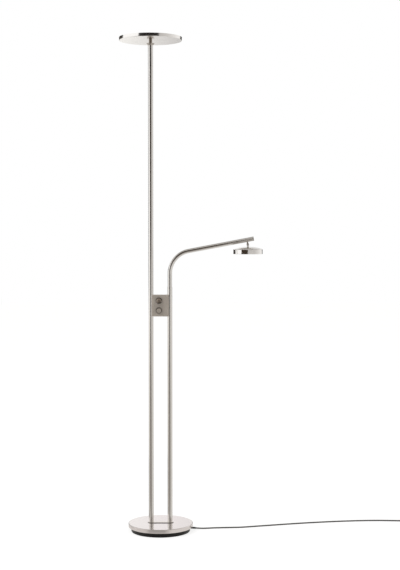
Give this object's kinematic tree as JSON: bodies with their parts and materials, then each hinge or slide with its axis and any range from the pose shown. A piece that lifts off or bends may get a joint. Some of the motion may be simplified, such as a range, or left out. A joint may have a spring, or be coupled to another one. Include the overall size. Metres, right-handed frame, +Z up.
{
  "type": "torchiere floor lamp with reading light",
  "caption": "Slim floor lamp: flat disc uplight on a tall pole, curved swivel arm with a small tilting reading light, dimmer knobs between paired poles, and a round weighted base.",
  "frame": {"origin": "on the floor, at the centre of the base, midway between the two poles", "axes": "+Z up along the poles; -Y is the front, where the control knobs face; +X is the side that the arm reaches to at rest"},
  "size_m": [1.1573, 0.2648, 1.8],
  "materials": {
    "satin_nickel": "satin nickel plate, fine brushed",
    "polished_base": "satin nickel plate on the spun base cover",
    "black_enamel": "satin black enamel",
    "pad_rubber": "matt foam rubber",
    "cast_weight": "rough cast, oiled",
    "zinc_steel": "zinc plated",
    "board_laminate": "white solder resist",
    "led_resin": "phosphor resin",
    "opal_diffuser": "opal satin",
    "spreader_aluminium": "mill finish",
    "white_moulding": "moulded white",
    "black_moulding": "moulded black, fine grain",
    "knob_nickel": "satin nickel, turned",
    "cord_sheath": "smooth flexible sheath",
    "lead_sheath": "smooth sheath",
    "pin_brass": "nickel-bright brass"
  },
  "bodies": {
    "root": {"foot_pad": "pad_rubber", "foot_pan": "black_enamel", "pan_screws": "zinc_steel", "base_weight": "cast_weight", "base_cover": "polished_base", "flange_plate": "satin_nickel", "pole_inserts": "zinc_steel", "pole_nipples": "zinc_steel", "pole_nuts": "zinc_steel", "pole_washers": "zinc_steel", "led_driver": "white_moulding", "terminal_block": "white_moulding", "left_lower_pole": "satin_nickel", "right_lower_pole": "satin_nickel", "left_upper_pole": "satin_nickel", "pole_coupling": "zinc_steel", "arm_stop": "zinc_steel", "pole_leads": "lead_sheath", "control_box": "satin_nickel", "control_box_cover": "satin_nickel", "control_box_screws": "zinc_steel", "box_side_screws": "zinc_steel", "dimmer_board": "board_laminate", "dimmers": "black_moulding", "dimmer_nuts": "zinc_steel", "pole_collar": "satin_nickel", "neck_sleeve": "satin_nickel", "neck_nut": "zinc_steel", "head_neck": "zinc_steel", "top_pan": "satin_nickel", "diffuser_support": "white_moulding", "top_heat_spreader": "spreader_aluminium", "top_led_board": "board_laminate", "top_leds": "led_resin", "top_diffuser": "opal_diffuser", "strain_relief": "black_moulding", "mains_cord": "cord_sheath", "cord_coil": "cord_sheath", "cord_tie": "black_moulding", "plug_body": "black_moulding", "plug_pins": "pin_brass"},
    "upper_knob_body": {"upper_dimmer_shaft": "zinc_steel", "upper_knob": "knob_nickel"},
    "lower_knob_body": {"lower_dimmer_shaft": "zinc_steel", "lower_knob": "knob_nickel"},
    "arm": {"arm_tube": "satin_nickel", "arm_end_cap": "satin_nickel", "arm_lead": "lead_sheath"},
    "knuckle": {"knuckle_pin": "satin_nickel", "pin_nut": "zinc_steel", "tilt_screw": "satin_nickel", "tilt_nut": "zinc_steel"},
    "reading_head": {"head_stem": "satin_nickel", "stem_nut": "zinc_steel", "reading_shell": "satin_nickel", "reading_diffuser": "opal_diffuser", "reading_spacer_ring": "white_moulding", "reading_heat_sink": "spreader_aluminium", "reading_led_board": "board_laminate", "reading_leds": "led_resin"}
  },
  "joints": [
    {"name": "arm_swivel", "type": "hinge", "parent": "root", "child": "arm", "pos_m": [0.0345, 0, 0.897], "axis": [0, 0, 1], "range_deg": [-150, 150]},
    {"name": "head_turn", "type": "hinge", "parent": "arm", "child": "knuckle", "pos_m": [0.31917, 0, 1.04919], "axis": [-0.1865, 0, 0.9825], "range_deg": [-150, 150]},
    {"name": "head_tilt", "type": "hinge", "parent": "knuckle", "child": "reading_head", "pos_m": [0.31917, 0, 1.04919], "axis": [0, 1, 0], "range_deg": [-25, 15]},
    {"name": "upper_knob_turn", "type": "hinge", "parent": "root", "child": "upper_knob_body", "pos_m": [-0.005, -0.012, 0.848], "axis": [0, 1, 0], "range_deg": [-135, 135]},
    {"name": "lower_knob_turn", "type": "hinge", "parent": "root", "child": "lower_knob_body", "pos_m": [-0.005, -0.012, 0.812], "axis": [0, 1, 0], "range_deg": [-135, 135]}
  ]
}
